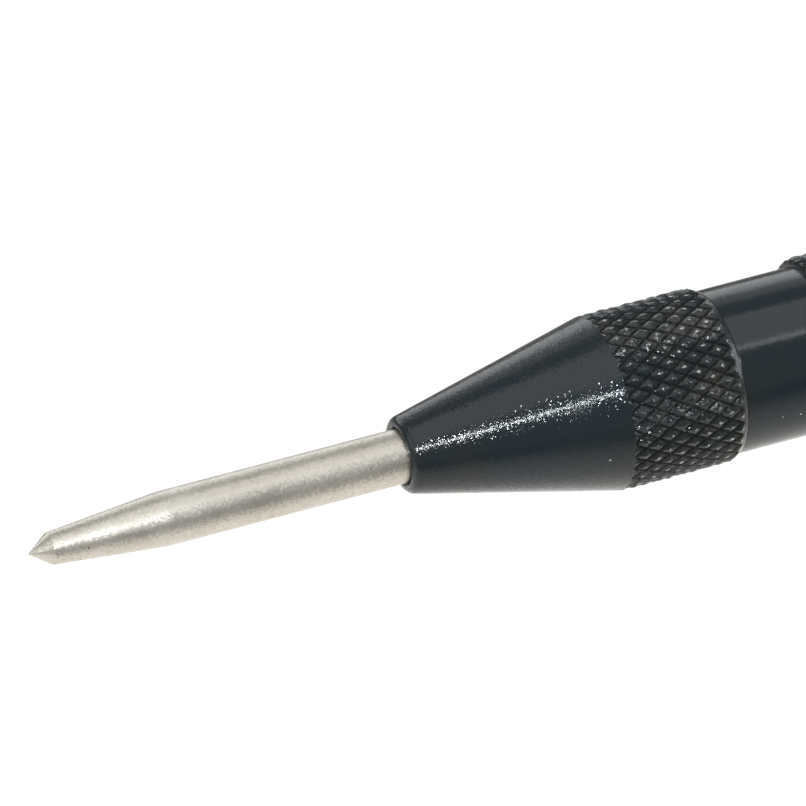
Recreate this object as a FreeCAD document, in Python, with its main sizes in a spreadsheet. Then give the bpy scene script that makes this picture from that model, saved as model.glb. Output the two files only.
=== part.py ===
import FreeCAD, Part
import os
import re
import Sketcher

# Automatic (spring-loaded) centre punch, lying along +X.
# The tip of the point is the origin, +X runs along the axis to the adjusting cap, +Z is up.
#
# How it works: pushing the point in drives the leaning trigger pin, whose tail pushes the
# hammer back against the main spring. The guide bore then straightens the pin, the tail
# slips into the hammer's hole and the hammer strikes the pin's shoulder. The cap screws
# along the barrel's rear thread and sets the main spring's force.

DRIVING_SIZES = {
    # overall: the barrel's diameter carries the threads, the bands and the bores with it
    "barrel_dia": 13.0,
    "barrel_len": 46.2,             # between the nose and the rear undercut
    "travel": 9.0,                  # how far the point is pushed in
    "stop_gap": 0.05,               # left where a moving piece rests on a stop
    # punch point
    "tip_angle": 71.0,              # whole angle of the working cone, degrees
    "tip_dia": 2.56,                # where the working cone meets the long taper
    "taper_len": 9.45,
    "shank_dia": 4.3,
    "shank_out": 19.95,             # plain shank in front of the nose
    "collar_step": 0.85,            # collar over the shank; it keeps the point in the nose
    "collar_len": 3.0,
    "socket_depth": 1.4,            # ball centre below the collar's rear face
    "socket_gap": 0.1,
    "socket_relief": 0.05,
    # nose cone
    "nose_wall": 0.85,              # front edge outside the shank
    "nose_round": 0.7,
    "nose_band_step": 0.5,          # band over the barrel
    "nose_cone_len": 17.2,
    "nose_band_len": 9.4,
    "nose_bore_gap": 0.1,           # radial, round the shank
    "nose_bore_mouth": 0.15,        # countersink round the shank
    "nose_bore_len": 6.0,
    "chamber_gap": 0.35,            # radial, round the return spring
    "seam_chamfer_len": 0.8,
    "seam_chamfer_rise": 0.45,
    # threads, both of one pitch with 60 degree flanks
    "thread_pitch": 1.0,
    "thread_gap": 0.06,             # normal to the flanks
    "thread_relief_len": 1.4,
    "thread_relief_rise": 0.2,
    "thread_lead": 0.4,             # chamfer at the start of each male thread
    "nose_thread_step": 1.0,        # front thread's crest below the barrel
    "cap_thread_step": 0.5,         # rear thread's crest below the barrel
    "cap_thread_len": 8.5,
    "undercut_len": 1.5,
    "undercut_depth": 0.7,          # below the thread's crest
    # barrel
    "spigot_len": 8.0,              # goes into the nose
    "spigot_gap": 1.2,              # from the spigot's end to the nose's shoulder
    "grip_start": 8.0,              # behind the nose
    "grip_len": 13.0,
    "grip_step": 0.7,               # band over the barrel
    "grip_round": 0.8,
    "pocket_wall": 0.7,             # between the return spring's pocket and the front undercut
    "pocket_len": 10.2,
    "guide_dia": 4.6,
    "guide_len": 6.0,
    "guide_lead": 0.4,              # less than the radius of the return spring's wire centre
    "rear_wall": 0.55,              # between the hammer's bore and the rear undercut
    # trigger pin
    "ball_dia": 3.0,
    "neck_step": 0.2,               # neck below the ball
    "pin_flange_inset": 0.2,        # flange below the return spring
    "pin_flange_len": 1.2,
    "pin_flange_gap": 0.3,          # behind the point's collar
    "pin_guide_gap": 0.1,           # radial, pin body in the guide bore
    "guide_catch": 1.05,            # pin body inside the guide bore at full travel
    "pin_cone_len": 2.0,
    "pin_stem_dia": 3.2,
    "pin_stem_len": 4.0,
    "pin_tail_dia": 2.0,
    "pin_tail_gap": 0.15,           # in front of the hammer
    "lean_gap": 0.167,              # left between the leaning tail and the guide bore
    # hammer
    "hammer_gap": 0.1,              # radial, in its bore
    "hammer_len": 20.0,
    "hammer_chamfer": 0.3,
    "hammer_waist_start": 5.0,
    "hammer_waist_len": 10.0,
    "hammer_waist_depth": 0.25,
    "hammer_hole_gap": 0.15,        # radial, round the pin's tail
    "hammer_hole_spare": 2.15,      # hole beyond the whole tail
    "hammer_hole_lead": 0.25,
    "hammer_stub_len": 3.5,         # centres the main spring
    # springs
    "return_wire_dia": 0.6,
    "return_gap": 0.1,              # radial, round the leaning pin's body
    "return_turns": 5.0,
    "return_flange_gap": 0.2,
    "main_wire_dia": 1.3,
    "main_gap": 0.25,               # radial, in the hammer's bore
    "main_turns": 9.0,
    "coil_gap": 0.12,               # between the closed coils at each spring's ends
    "stub_gap": 0.2,                # radial, inside the main spring
    # spring seat
    "seat_gap": 0.15,               # radial, in the cap
    "seat_flange_len": 1.5,
    "seat_stub_len": 3.0,
    "seat_chamfer": 0.3,
    # adjusting cap
    "cap_gap": 0.3,                 # from the barrel's shoulder to the cap's mouth
    "cap_rim_step": 0.3,            # each step is over the barrel
    "cap_band_step": 0.7,
    "cap_neck_drop": 0.2,           # each drop is below the barrel
    "cap_end_drop": 1.0,
    "cap_rim_len": 2.0,
    "cap_rim_chamfer": 0.3,
    "cap_band_len": 14.0,
    "cap_neck_len": 0.8,
    "cap_end_round": 1.5,
    "cap_len": 25.7,
    "cap_end_wall": 4.95,
    "cap_thread_room": 12.7,        # threaded length inside the cap
    "cap_mouth_rise": 0.1,
}

# Metric thread form: height of the sharp triangle, depth of the male groove,
# half the male crest, and how far the female bore stands inside the male crest.
THREAD_HEIGHT = "(thread_pitch * sqrt(3) / 2)"
MALE_DEPTH = f"({THREAD_HEIGHT} * 17 / 24)"
HALF_CREST = "(thread_pitch / 16)"
FEMALE_CATCH = f"({THREAD_HEIGHT} * 7 / 12)"
THREAD_OVERCUT = "(thread_pitch / 12)"
FLANK = "tan(30)"
FLANK_GAP = "(thread_gap / cos(30))"

# Radii that several pieces share, each an expression in the sizes above.
TUBE_R = "(barrel_dia / 2)"
NOSE_THREAD_R = f"({TUBE_R} - nose_thread_step)"
CAP_THREAD_R = f"({TUBE_R} - cap_thread_step)"
POCKET_R = f"({NOSE_THREAD_R} - undercut_depth - pocket_wall)"
HAMMER_BORE_R = f"({CAP_THREAD_R} - undercut_depth - rear_wall)"
HAMMER_R = f"({HAMMER_BORE_R} - hammer_gap)"
GUIDED_R = "(guide_dia / 2 - pin_guide_gap)"
MAIN_R = f"({HAMMER_BORE_R} - main_gap)"
STUB_R = f"({MAIN_R} - main_wire_dia - stub_gap)"
CAP_BORE_R = f"({CAP_THREAD_R} - {FEMALE_CATCH})"

# Places along the tool's axis, from the tip.
TIP_LEN = "(tip_dia / 2 / tan(tip_angle / 2))"
SHANK_START = f"({TIP_LEN} + taper_len)"
NOSE_X = f"({SHANK_START} + shank_out)"
COLLAR_START = f"({NOSE_X} + nose_bore_len + stop_gap)"
POINT_LEN = f"({COLLAR_START} + collar_len)"
BALL_X = f"({POINT_LEN} - socket_depth)"
NOSE_LEN = "(nose_cone_len + nose_band_len)"
BARREL_X = f"({NOSE_X} + {NOSE_LEN} - spigot_len)"
GUIDE_X = f"({BARREL_X} + pocket_len)"
HAMMER_X = f"({GUIDE_X} + guide_len + stop_gap)"
MAIN_X = f"({HAMMER_X} + hammer_len + stop_gap)"
CAP_X = f"({BARREL_X} + spigot_len + barrel_len + cap_gap)"
CAP_FLOOR = "(cap_len - cap_end_wall)"
SEAT_X = f"({CAP_X} + {CAP_FLOOR} - stop_gap - seat_flange_len)"

# Places along the barrel, from its front end.
GUIDE_END = "(pocket_len + guide_len)"
REAR_SHOULDER = "(spigot_len + barrel_len)"
REAR_THREAD = f"({REAR_SHOULDER} + undercut_len)"
BARREL_END = f"({REAR_THREAD} + cap_thread_len)"

# Places along the trigger pin, from its ball. Its body reaches the guide bore at full travel.
FLANGE_START = "(socket_depth + pin_flange_gap)"
FLANGE_END = f"({FLANGE_START} + pin_flange_len)"
GUIDED_END = f"({GUIDE_X} + guide_catch - travel - {BALL_X})"
STEM_START = f"({GUIDED_END} + pin_cone_len)"
STEM_END = f"({STEM_START} + pin_stem_len)"
PIN_END = f"({HAMMER_X} - pin_tail_gap - {BALL_X})"
LEAN_SLOPE = f"(({GUIDED_R} + pin_guide_gap - pin_tail_dia / 2 - lean_gap) / {PIN_END})"
PIN_LEAN = f"asin({LEAN_SLOPE})"

# The return spring clears the pin's body where it leans out furthest.
RETURN_R = f"({GUIDED_R} + {GUIDED_END} * {LEAN_SLOPE} + return_gap + return_wire_dia)"
RETURN_X = f"({BALL_X} + {FLANGE_END} + return_flange_gap)"
RETURN_ROOM = f"({GUIDE_X} - {RETURN_X} - stop_gap)"
MAIN_ROOM = f"({SEAT_X} - {MAIN_X} - stop_gap)"

doc = FreeCAD.newDocument("CentrePunch")
sheet = doc.addObject("Spreadsheet::Sheet", "Sizes")
for row, (alias, size) in enumerate(DRIVING_SIZES.items(), start=1):
    sheet.set(f"A{row}", alias)
    sheet.set(f"B{row}", str(size))
    sheet.setAlias(f"B{row}", alias)
doc.recompute()


def bound(text):
    """Return the expression with each size's name pointed at its cell."""
    return re.sub(r"[a-z_]+", lambda word: f"Sizes.{word[0]}" if word[0] in DRIVING_SIZES else word[0], text)


def value(text):
    """Return the number that an expression has now."""
    return float(sheet.evalExpression(bound(text)))


def origin_plane(body, role):
    """Return the body's own origin plane of that role."""
    return next(feature for feature in body.Origin.OriginFeatures if feature.Role == role)


def new_body(label, at="0"):
    """Start a sub-part whose datum stands at a place along the axis."""
    body = doc.addObject("PartDesign::Body", label)
    body.Label = label
    body.setExpression("Placement.Base.x", bound(at))
    return body


def new_sketch(body, name):
    """Start a sketch on the body's XZ plane, with the tool's axis as its horizontal axis."""
    sketch = body.newObject("Sketcher::SketchObject", name)
    sketch.AttachmentSupport = (origin_plane(body, "XZ_Plane"), [""])
    sketch.MapMode = "FlatFace"
    return sketch


def hold(sketch, item, point, x, r):
    """Tie a point of a sketch's item to its distance along the axis and from the axis."""
    for kind, axis, text in (("DistanceX", -2, x), ("DistanceY", -1, r)):
        if text == "0":
            sketch.addConstraint(Sketcher.Constraint("PointOnObject", item, point, axis))
        else:
            number = sketch.addConstraint(Sketcher.Constraint(kind, -1, 1, item, point, value(text)))
            sketch.setExpression(f"Constraints[{number}]", bound(text))


def outline(body, name, corners):
    """Sketch a closed outline of straight lines through (along, out) corners."""
    sketch = new_sketch(body, name)
    places = [FreeCAD.Vector(value(x), value(r), 0) for x, r in corners]
    for start, end in zip(places, places[1:] + places[:1]):
        sketch.addGeometry(Part.LineSegment(start, end), False)
    for number in range(len(corners)):
        following = (number + 1) % len(corners)
        sketch.addConstraint(Sketcher.Constraint("Coincident", number, 2, following, 1))
    for number, (x, r) in enumerate(corners):
        hold(sketch, number, 1, x, r)
    return sketch


def turn(body, corners, name="Turned", kind="PartDesign::Revolution"):
    """Revolve an outline a whole turn about the axis."""
    sketch = outline(body, f"{name}Outline", corners)
    feature = body.newObject(kind, name)
    feature.Profile = sketch
    feature.ReferenceAxis = (sketch, ["H_Axis"])
    feature.Angle = 360
    doc.recompute()
    return feature


def bore(body, corners, name="Bore"):
    """Cut a turned hollow, and make sure that it took material away."""
    before = body.Shape.Volume
    turn(body, corners, name, "PartDesign::Groove")
    if body.Shape.Volume >= before:
        raise RuntimeError(f"{body.Label}: {name} cut nothing")


def round_edges(body, name, radius, places):
    """Fillet the circular edges that stand at the given (along, out) places."""
    wanted = [(value(x), value(r)) for x, r in places]
    edges = []
    for number, edge in enumerate(body.Tip.Shape.Edges, start=1):
        curve = edge.Curve
        if not isinstance(curve, Part.Circle):
            continue
        for x, r in wanted:
            if abs(curve.Center.x - x) < 1e-4 and abs(curve.Radius - r) < 1e-4:
                edges.append(f"Edge{number}")
    if len(edges) < len(places):
        raise RuntimeError(f"{body.Label}: {name} found {len(edges)} edges")
    base = body.Tip
    fillet = body.newObject("PartDesign::Fillet", name)
    fillet.Base = (base, edges)
    fillet.setExpression("Radius", bound(radius))
    doc.recompute()


def cut_thread(body, start, height, edges):
    """Cut a right-handed groove between two (half width, radius) edges, from start along +X."""
    (half_a, radius_a), (half_b, radius_b) = edges
    sketch = outline(body, "ThreadOutline", [
        (f"{start} - {half_a}", radius_a), (f"{start} + {half_a}", radius_a),
        (f"{start} + {half_b}", radius_b), (f"{start} - {half_b}", radius_b)])
    before = body.Shape.Volume
    helix = body.newObject("PartDesign::SubtractiveHelix", "Thread")
    helix.Profile = sketch
    helix.ReferenceAxis = (sketch, ["H_Axis"])
    helix.Mode = "pitch-height-angle"
    helix.setExpression("Pitch", bound("thread_pitch"))
    helix.setExpression("Height", bound(height))
    doc.recompute()
    if body.Shape.Volume >= before:
        raise RuntimeError(f"{body.Label}: the thread cut nothing")


def male_thread(body, start, height, crest):
    """Cut the groove of a male thread whose crest has that radius."""
    groove = f"(thread_pitch / 2 - {HALF_CREST})"
    cut_thread(body, start, height, [
        (f"({groove} + {THREAD_OVERCUT} * {FLANK})", f"{crest} + {THREAD_OVERCUT}"),
        (f"({groove} - {MALE_DEPTH} * {FLANK})", f"{crest} - {MALE_DEPTH}")])


def female_thread(body, start, height, crest):
    """Cut the groove that a male thread of that crest radius runs in, with a gap all round."""
    inside = f"({FEMALE_CATCH} + {THREAD_OVERCUT})"
    cut_thread(body, start, height, [
        (f"({HALF_CREST} + {inside} * {FLANK} + {FLANK_GAP})", f"{crest} - {inside}"),
        (f"({HALF_CREST} - stop_gap * {FLANK} + {FLANK_GAP})", f"{crest} + stop_gap")])


def wind(body, name, start, radius, wire, height, turns):
    """Add a stretch of round wire, wound from start along +X."""
    sketch = new_sketch(body, f"{name}Section")
    centre = FreeCAD.Vector(value(start), value(radius), 0)
    sketch.addGeometry(Part.Circle(centre, FreeCAD.Vector(0, 0, 1), value(wire) / 2), False)
    number = sketch.addConstraint(Sketcher.Constraint("Radius", 0, value(wire) / 2))
    sketch.setExpression(f"Constraints[{number}]", bound(f"{wire} / 2"))
    hold(sketch, 0, 3, start, radius)
    helix = body.newObject("PartDesign::AdditiveHelix", name)
    helix.Profile = sketch
    helix.ReferenceAxis = (sketch, ["H_Axis"])
    helix.Mode = "height-turns-growth"
    helix.setExpression("Height", bound(height))
    helix.setExpression("Turns", bound(turns))
    doc.recompute()


def spring(label, at, room, outer, wire, turns):
    """Wind a compression spring of that outer radius, with a closed coil at each end, in its room."""
    body = new_body(label, at)
    closed = f"({wire} + coil_gap)"
    lift = f"({room} - {wire} - 2 * {closed})"
    middle = f"({outer} - {wire} / 2)"
    wind(body, "FrontCoil", f"{wire} / 2", middle, wire, closed, "1")
    wind(body, "Coils", f"{wire} / 2 + {closed}", middle, wire, lift, turns)
    wind(body, "RearCoil", f"{wire} / 2 + {closed} + {lift}", middle, wire, closed, "1")
    return body


def ball(body, kind, at, radius):
    """Add or cut a ball centred on the axis."""
    feature = body.newObject(kind, "Ball")
    feature.setExpression("Radius", bound(radius))
    feature.setExpression("Placement.Base.x", bound(at))
    doc.recompute()


def punch_point():
    """Working cone, long taper and shank, with a collar behind and a socket for the pin."""
    body = new_body("punch_point")
    mouth = "ball_dia / 2 + socket_gap + socket_relief"
    turn(body, [
        ("0", "0"), (TIP_LEN, "tip_dia / 2"), (SHANK_START, "shank_dia / 2"),
        (COLLAR_START, "shank_dia / 2"), (COLLAR_START, "shank_dia / 2 + collar_step"),
        (POINT_LEN, "shank_dia / 2 + collar_step"), (POINT_LEN, mouth), (BALL_X, mouth),
        (BALL_X, "0")])
    ball(body, "PartDesign::SubtractiveSphere", BALL_X, "ball_dia / 2 + socket_gap")
    return body


def nose_cone():
    """Front housing: a cone and a grip band, hollow, screwed onto the barrel from the front."""
    body = new_body("nose_cone", NOSE_X)
    front = "shank_dia / 2 + nose_wall"
    band = f"{TUBE_R} + nose_band_step"
    chamber = f"{RETURN_R} + chamber_gap"
    seam_start = f"{NOSE_LEN} - seam_chamfer_len"
    shank_bore = "shank_dia / 2 + nose_bore_gap"
    chamber_end = f"({NOSE_LEN} - spigot_len - spigot_gap)"
    relief_end = f"{chamber_end} + thread_relief_len"
    relief = f"{NOSE_THREAD_R} + thread_relief_rise"
    thread_bore = f"{NOSE_THREAD_R} - {FEMALE_CATCH}"
    turn(body, [
        ("0", "0"), ("0", front), ("nose_cone_len", band), (seam_start, band),
        (NOSE_LEN, f"{band} - seam_chamfer_rise"), (NOSE_LEN, "0")])
    round_edges(body, "FrontRound", "nose_round", [("0", front)])
    bore(body, [
        ("0", "0"), ("0", f"{shank_bore} + nose_bore_mouth"), ("nose_bore_mouth", shank_bore),
        ("nose_bore_len", shank_bore), ("nose_bore_len", chamber),
        (chamber_end, chamber), (chamber_end, relief), (relief_end, relief),
        (relief_end, thread_bore), (f"{NOSE_LEN} - undercut_len", thread_bore),
        (f"{NOSE_LEN} - undercut_len / 2", relief), (NOSE_LEN, relief), (NOSE_LEN, "0")])
    # The male thread's groove starts one pitch in front of the spigot, so its ridge,
    # and this groove, stand half a pitch further on.
    start = f"({NOSE_LEN} - spigot_len - thread_pitch / 2)"
    female_thread(body, start, f"{NOSE_LEN} + thread_pitch - {start}", NOSE_THREAD_R)
    return body


def barrel():
    """Rear housing: front spigot, smooth tube, grip band, and the thread for the cap."""
    body = new_body("barrel", BARREL_X)
    front = NOSE_THREAD_R
    rear = CAP_THREAD_R
    tube = TUBE_R
    grip = f"({TUBE_R} + grip_step)"
    grip_start = "(spigot_len + grip_start)"
    grip_end = f"({grip_start} + grip_len)"
    turn(body, [
        ("0", "0"), ("0", f"{front} - thread_lead"), ("thread_lead", front),
        ("spigot_len - undercut_len", front),
        ("spigot_len - undercut_len", f"{front} - undercut_depth"),
        ("spigot_len", f"{front} - undercut_depth"), ("spigot_len", tube),
        (grip_start, tube), (grip_start, grip), (grip_end, grip), (grip_end, tube),
        (REAR_SHOULDER, tube), (REAR_SHOULDER, f"{rear} - undercut_depth"),
        (REAR_THREAD, f"{rear} - undercut_depth"), (REAR_THREAD, rear),
        (f"{BARREL_END} - thread_lead", rear), (BARREL_END, f"{rear} - thread_lead"),
        (BARREL_END, "0")])
    # The rounding is kept inside the step that the band stands proud by.
    round_edges(body, "GripRound", "min(grip_round; grip_step * 0.95)",
                [(grip_start, grip), (grip_end, grip)])
    guide = "guide_dia / 2"
    bore(body, [
        ("0", "0"), ("0", POCKET_R), ("pocket_len", POCKET_R),
        ("pocket_len", f"{guide} + guide_lead"), ("pocket_len + guide_lead", guide),
        (GUIDE_END, guide), (GUIDE_END, HAMMER_BORE_R), (BARREL_END, HAMMER_BORE_R),
        (BARREL_END, "0")])
    male_thread(body, "-1 * thread_pitch", "spigot_len - undercut_len / 2 + thread_pitch", front)
    male_thread(body, f"({REAR_SHOULDER} + undercut_len / 2)",
                "undercut_len / 2 + cap_thread_len + thread_pitch", rear)
    return body


def trigger_pin():
    """Stepped pin on a ball: flange, guided body, stem and tail. It leans until guided."""
    body = new_body("trigger_pin", BALL_X)
    body.Placement = FreeCAD.Placement(FreeCAD.Vector(), FreeCAD.Rotation(FreeCAD.Vector(0, 1, 0), 1))
    body.setExpression("Placement.Rotation.Angle", bound(PIN_LEAN))
    neck = "ball_dia / 2 - neck_step"
    flange = f"{RETURN_R} - pin_flange_inset"
    turn(body, [
        ("0", "0"), ("0", neck), (FLANGE_START, neck), (FLANGE_START, flange),
        (FLANGE_END, flange), (FLANGE_END, GUIDED_R), (GUIDED_END, GUIDED_R),
        (STEM_START, "pin_stem_dia / 2"), (STEM_END, "pin_stem_dia / 2"),
        (STEM_END, "pin_tail_dia / 2"), (PIN_END, "pin_tail_dia / 2"), (PIN_END, "0")])
    ball(body, "PartDesign::AdditiveSphere", "0", "ball_dia / 2")
    return body


def hammer():
    """Sliding weight with a hole for the pin's tail, a relieved waist and a stub for the spring."""
    body = new_body("hammer", HAMMER_X)
    waist = f"{HAMMER_R} - hammer_waist_depth"
    waist_end = "hammer_waist_start + hammer_waist_len"
    stub_end = "(hammer_len + hammer_stub_len)"
    hole = "(pin_tail_dia / 2 + hammer_hole_gap)"
    hole_end = f"({PIN_END} - {STEM_END} + hammer_hole_spare)"
    turn(body, [
        ("0", "0"), ("0", f"{HAMMER_R} - hammer_chamfer"), ("hammer_chamfer", HAMMER_R),
        ("hammer_waist_start", HAMMER_R), ("hammer_waist_start + hammer_waist_depth", waist),
        (f"{waist_end} - hammer_waist_depth", waist), (waist_end, HAMMER_R),
        ("hammer_len - hammer_chamfer", HAMMER_R), ("hammer_len", f"{HAMMER_R} - hammer_chamfer"),
        ("hammer_len", STUB_R), (f"{stub_end} - hammer_chamfer", STUB_R),
        (stub_end, f"{STUB_R} - hammer_chamfer"), (stub_end, "0")])
    bore(body, [
        ("0", "0"), ("0", f"{hole} + hammer_hole_lead"), ("hammer_hole_lead", hole),
        (hole_end, hole), (f"{hole_end} + {hole} * {FLANK}", "0")])
    return body


def spring_seat():
    """Disc between the main spring and the cap, with a stub inside the spring."""
    body = new_body("spring_seat", SEAT_X)
    flange = f"{CAP_BORE_R} - seat_gap"
    turn(body, [
        ("-1 * seat_stub_len", "0"), ("-1 * seat_stub_len", f"{STUB_R} - seat_chamfer"),
        ("seat_chamfer - seat_stub_len", STUB_R), ("0", STUB_R), ("0", flange),
        ("seat_flange_len", flange), ("seat_flange_len", "0")])
    return body


def adjusting_cap():
    """Grip cap, threaded inside, that screws on the barrel and loads the main spring."""
    body = new_body("adjusting_cap", CAP_X)
    rim = f"{TUBE_R} + cap_rim_step"
    band = f"{TUBE_R} + cap_band_step"
    band_end = "(cap_rim_len + cap_band_len)"
    end = f"{TUBE_R} - cap_end_drop"
    turn(body, [
        ("0", "0"), ("0", f"{rim} - cap_rim_chamfer"), ("cap_rim_chamfer", rim),
        ("cap_rim_len", rim), ("cap_rim_len", band), (band_end, band),
        (f"{band_end} + cap_neck_len", f"{TUBE_R} - cap_neck_drop"), ("cap_len", end),
        ("cap_len", "0")])
    round_edges(body, "EndRound", "cap_end_round", [("cap_len", end)])
    mouth = f"{CAP_THREAD_R} + cap_mouth_rise"
    relief = f"{CAP_THREAD_R} + thread_relief_rise"
    relief_end = "cap_thread_room + thread_relief_len"
    bore(body, [
        ("0", "0"), ("0", mouth), ("thread_pitch / 2", mouth), ("thread_pitch", CAP_BORE_R),
        ("cap_thread_room", CAP_BORE_R), ("cap_thread_room", relief), (relief_end, relief),
        (relief_end, CAP_BORE_R), (CAP_FLOOR, CAP_BORE_R), (CAP_FLOOR, "0")])
    # In step with the ridge of the barrel's rear thread, and started clear of the mouth.
    start = "(undercut_len / 2 - cap_gap - thread_pitch * 3 / 2)"
    female_thread(body, start, f"cap_thread_room + thread_relief_len / 2 - {start}", CAP_THREAD_R)
    return body


parts = [
    punch_point(),
    nose_cone(),
    spring("return_spring", RETURN_X, RETURN_ROOM, RETURN_R, "return_wire_dia", "return_turns"),
    trigger_pin(),
    barrel(),
    hammer(),
    spring("main_spring", MAIN_X, MAIN_ROOM, MAIN_R, "main_wire_dia", "main_turns"),
    spring_seat(),
    adjusting_cap(),
]

doc.recompute()
for item in doc.Objects:
    if {"Invalid", "Error"} & set(item.State):
        raise RuntimeError(f"{item.Label} did not build: {item.getStatusString()}")
for body in parts:
    if body.Shape.isNull() or not body.Shape.isValid() or len(body.Shape.Solids) != 1:
        raise RuntimeError(f"{body.Label} is not one valid solid")

os.makedirs("parts", exist_ok=True)
for body in parts:
    body.Shape.exportStep(f"parts/{body.Label}.step")
    low, high = body.Shape.BoundBox.XMin, body.Shape.BoundBox.XMax
    print(f"{body.Label:14} {body.Shape.Volume:9.2f} mm3   x {low:7.2f} to {high:7.2f} mm")
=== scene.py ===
import logging
import math
from dataclasses import dataclass
from enum import Enum
from typing import Any, Sequence

import bpy
import numpy as np
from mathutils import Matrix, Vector


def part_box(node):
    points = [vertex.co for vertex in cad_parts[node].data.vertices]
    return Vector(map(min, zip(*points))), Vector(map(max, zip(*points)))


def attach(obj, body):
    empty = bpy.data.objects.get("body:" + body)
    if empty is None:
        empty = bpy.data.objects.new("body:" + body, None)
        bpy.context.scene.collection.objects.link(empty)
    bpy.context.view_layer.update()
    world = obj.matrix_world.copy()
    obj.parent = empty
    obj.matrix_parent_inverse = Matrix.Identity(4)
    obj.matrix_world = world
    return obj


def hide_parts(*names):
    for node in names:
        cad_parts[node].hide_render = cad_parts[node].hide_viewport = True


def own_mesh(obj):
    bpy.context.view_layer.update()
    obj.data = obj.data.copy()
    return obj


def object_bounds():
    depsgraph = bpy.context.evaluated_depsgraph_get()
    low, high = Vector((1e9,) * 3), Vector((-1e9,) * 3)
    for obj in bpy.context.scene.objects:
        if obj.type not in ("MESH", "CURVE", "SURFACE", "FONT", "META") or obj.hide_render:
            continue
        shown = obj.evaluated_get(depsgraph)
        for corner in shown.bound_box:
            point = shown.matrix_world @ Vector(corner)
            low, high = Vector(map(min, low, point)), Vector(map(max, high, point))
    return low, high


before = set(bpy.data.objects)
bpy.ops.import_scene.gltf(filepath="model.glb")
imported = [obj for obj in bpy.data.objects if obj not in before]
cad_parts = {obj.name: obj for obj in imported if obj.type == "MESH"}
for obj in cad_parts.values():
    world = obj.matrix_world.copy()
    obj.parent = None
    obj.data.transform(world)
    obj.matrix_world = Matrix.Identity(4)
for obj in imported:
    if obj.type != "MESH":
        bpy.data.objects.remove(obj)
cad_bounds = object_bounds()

log = logging.getLogger("centre_punch")

MM = 0.001
TURN = 2 * math.pi
Colour = tuple[float, float, float]

# Painted shade for knurl grooves: a dull near-black shader that finish mixes in where they would
# lie in shade.
PAINTED_GROOVE_SHADE = {"Base Color": (0.007, 0.0075, 0.006, 1), "Roughness": 0.8,
               "Specular IOR Level": 0.05}
# Lengths in millimetres, or counts of steps, that differ by less than this are equal.
CLOSE = 1e-6
# The same for an outline's own points.
HAIR = 1e-9
# Edges that turn further than this are not smoothed.
SHARP = math.radians(27)


# ---------------------------------------------------------------------------
# Shader maths
# ---------------------------------------------------------------------------

class Value:
    """A number that varies over a surface, with Math nodes behind its operators."""

    def __init__(self, shader: "Shader", socket: bpy.types.NodeSocket) -> None:
        """Wrap a socket of a shader."""
        self.shader = shader
        self.socket = socket

    def math(self, operation: str, *others: Any) -> "Value":
        """Add a Math node that reads this value and others.

        Args:
            operation: the Math node's operation.
            others: further numbers or values.

        Returns:
            The node's result.
        """
        node = self.shader.node("ShaderNodeMath", {"operation": operation},
                                dict(enumerate((self, *others))))
        return Value(self.shader, node.outputs[0])

    def __add__(self, other: Any) -> "Value":
        """Sum."""
        return self.math("ADD", other)

    __radd__ = __add__

    def __sub__(self, other: Any) -> "Value":
        """Difference."""
        return self.math("SUBTRACT", other)

    def __rsub__(self, other: float) -> "Value":
        """Difference from a number."""
        node = self.shader.node("ShaderNodeMath", {"operation": "SUBTRACT"}, {0: other, 1: self})
        return Value(self.shader, node.outputs[0])

    def __mul__(self, other: Any) -> "Value":
        """Product."""
        return self.math("MULTIPLY", other)

    __rmul__ = __mul__

    def __truediv__(self, other: Any) -> "Value":
        """Quotient."""
        return self.math("DIVIDE", other)

    def __pow__(self, other: Any) -> "Value":
        """Power."""
        return self.math("POWER", other)

    def ramp(self, low: float, high: float) -> "Value":
        """Ease from 0 at low to 1 at high; low may be the larger of the two."""
        if low > high:
            return 1 - self.ramp(high, low)
        node = self.shader.node(
            "ShaderNodeMapRange", {"interpolation_type": "SMOOTHSTEP"},
            {"Value": self, "From Min": low, "From Max": high})
        return Value(self.shader, node.outputs[0])


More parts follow.
